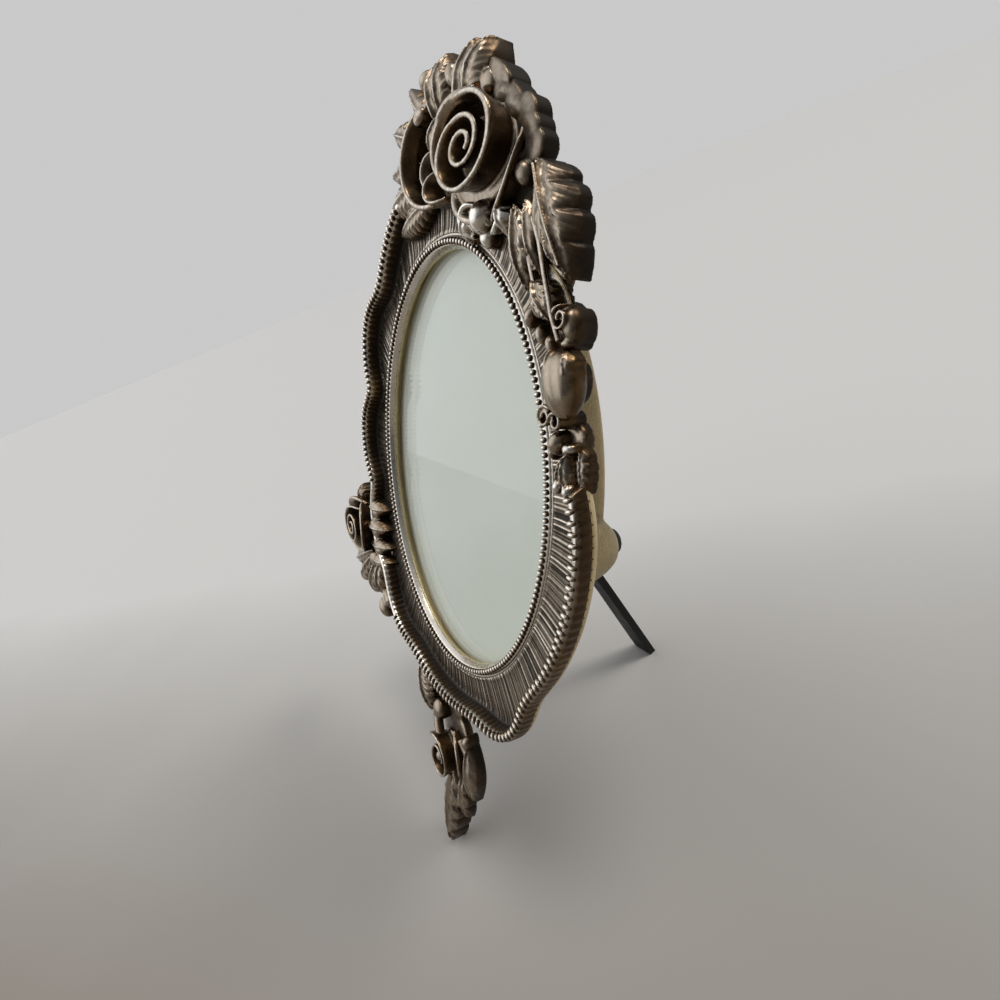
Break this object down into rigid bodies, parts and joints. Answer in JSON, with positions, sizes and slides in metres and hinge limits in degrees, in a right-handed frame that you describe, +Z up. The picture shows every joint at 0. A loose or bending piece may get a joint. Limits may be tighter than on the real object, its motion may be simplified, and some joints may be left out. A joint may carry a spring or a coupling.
{
  "type": "oval picture frame",
  "caption": "Standing oval picture frame with a scalloped beaded border, rose and leaf castings, glass, a deep back ring and a folding easel strut.",
  "frame": {"origin": "middle of the bounding box, on the table that the finial's tip and the strut's foot rest on", "axes": "+X to the frame's right seen from the front, +Y to the rear, +Z up; the front faces -Y and leans back"},
  "size_m": [0.1418, 0.1084, 0.2064],
  "materials": {
    "antique_silver": "antiqued silver plate over cast zinc alloy, dark patina in the hollows",
    "gold_casting": "sand-grained cast metal, champagne gold",
    "clear_glass": "clear, polished",
    "plain_paper": "blank, matte",
    "backing_card": "grey-brown card",
    "black_velvet": "velvet-covered board",
    "black_plastic": "moulded, satin black",
    "hinge_steel": "plain plated steel",
    "clip_brass": "brass-plated sheet",
    "black_rubber": "moulded rubber"
  },
  "bodies": {
    "frame": {"back_ring": "gold_casting", "backing_card": "backing_card", "clip_screws": "clip_brass", "crest_bow": "antique_silver", "crest_crown_leaf_left": "antique_silver", "crest_crown_leaf_right": "antique_silver", "crest_rose": "antique_silver", "crest_rosebud": "antique_silver", "crest_shoulder_leaf": "antique_silver", "crest_side_leaves": "antique_silver", "easel_panel": "black_velvet", "foot_calyx": "antique_silver", "foot_rose": "antique_silver", "foot_side_leaf": "antique_silver", "frame_face": "antique_silver", "garland_acanthus": "antique_silver", "garland_berry": "antique_silver", "garland_curl": "antique_silver", "garland_fern_leaf": "antique_silver", "garland_inner_leaves": "antique_silver", "garland_ribbed_leaf": "antique_silver", "garland_scroll": "antique_silver", "garland_small_leaf": "antique_silver", "glass_pane": "clear_glass", "hinge_panel_leaf": "hinge_steel", "hinge_pin": "hinge_steel", "lower_leaf": "antique_silver", "panel_rivets": "hinge_steel", "photo_insert": "plain_paper", "rubber_bumper_left": "black_rubber", "rubber_bumper_right": "black_rubber", "spray_bud": "antique_silver", "spray_inner_leaves": "antique_silver", "spray_lower_leaves": "antique_silver", "spray_rose": "antique_silver"},
    "strut": {"easel_strut": "black_plastic", "hinge_strut_leaf": "hinge_steel", "strut_rivets": "hinge_steel"},
    "clip_upper_right": {"turn_clip_upper_right": "clip_brass"},
    "clip_upper_left": {"turn_clip_upper_left": "clip_brass"},
    "clip_lower_left": {"turn_clip_lower_left": "clip_brass"},
    "clip_lower_right": {"turn_clip_lower_right": "clip_brass"}
  },
  "joints": [
    {"name": "strut_hinge", "type": "hinge", "parent": "frame", "child": "strut", "pos_m": [0.00778, 0.02039, 0.12311], "axis": [1, 0, 0], "range_deg": [-38, 0]},
    {"name": "clip_turn_upper_right", "type": "hinge", "parent": "frame", "child": "clip_upper_right", "pos_m": [0.04593, 0.03106, 0.1505], "axis": [0, 0.9135, -0.4067], "range_deg": [-95, 95]},
    {"name": "clip_turn_upper_left", "type": "hinge", "parent": "frame", "child": "clip_upper_left", "pos_m": [-0.03036, 0.03106, 0.1505], "axis": [0, 0.9135, -0.4067], "range_deg": [-95, 95]},
    {"name": "clip_turn_lower_left", "type": "hinge", "parent": "frame", "child": "clip_lower_left", "pos_m": [-0.03036, -0.00178, 0.07675], "axis": [0, 0.9135, -0.4067], "range_deg": [-95, 95]},
    {"name": "clip_turn_lower_right", "type": "hinge", "parent": "frame", "child": "clip_lower_right", "pos_m": [0.04593, -0.00178, 0.07675], "axis": [0, 0.9135, -0.4067], "range_deg": [-95, 95]}
  ]
}
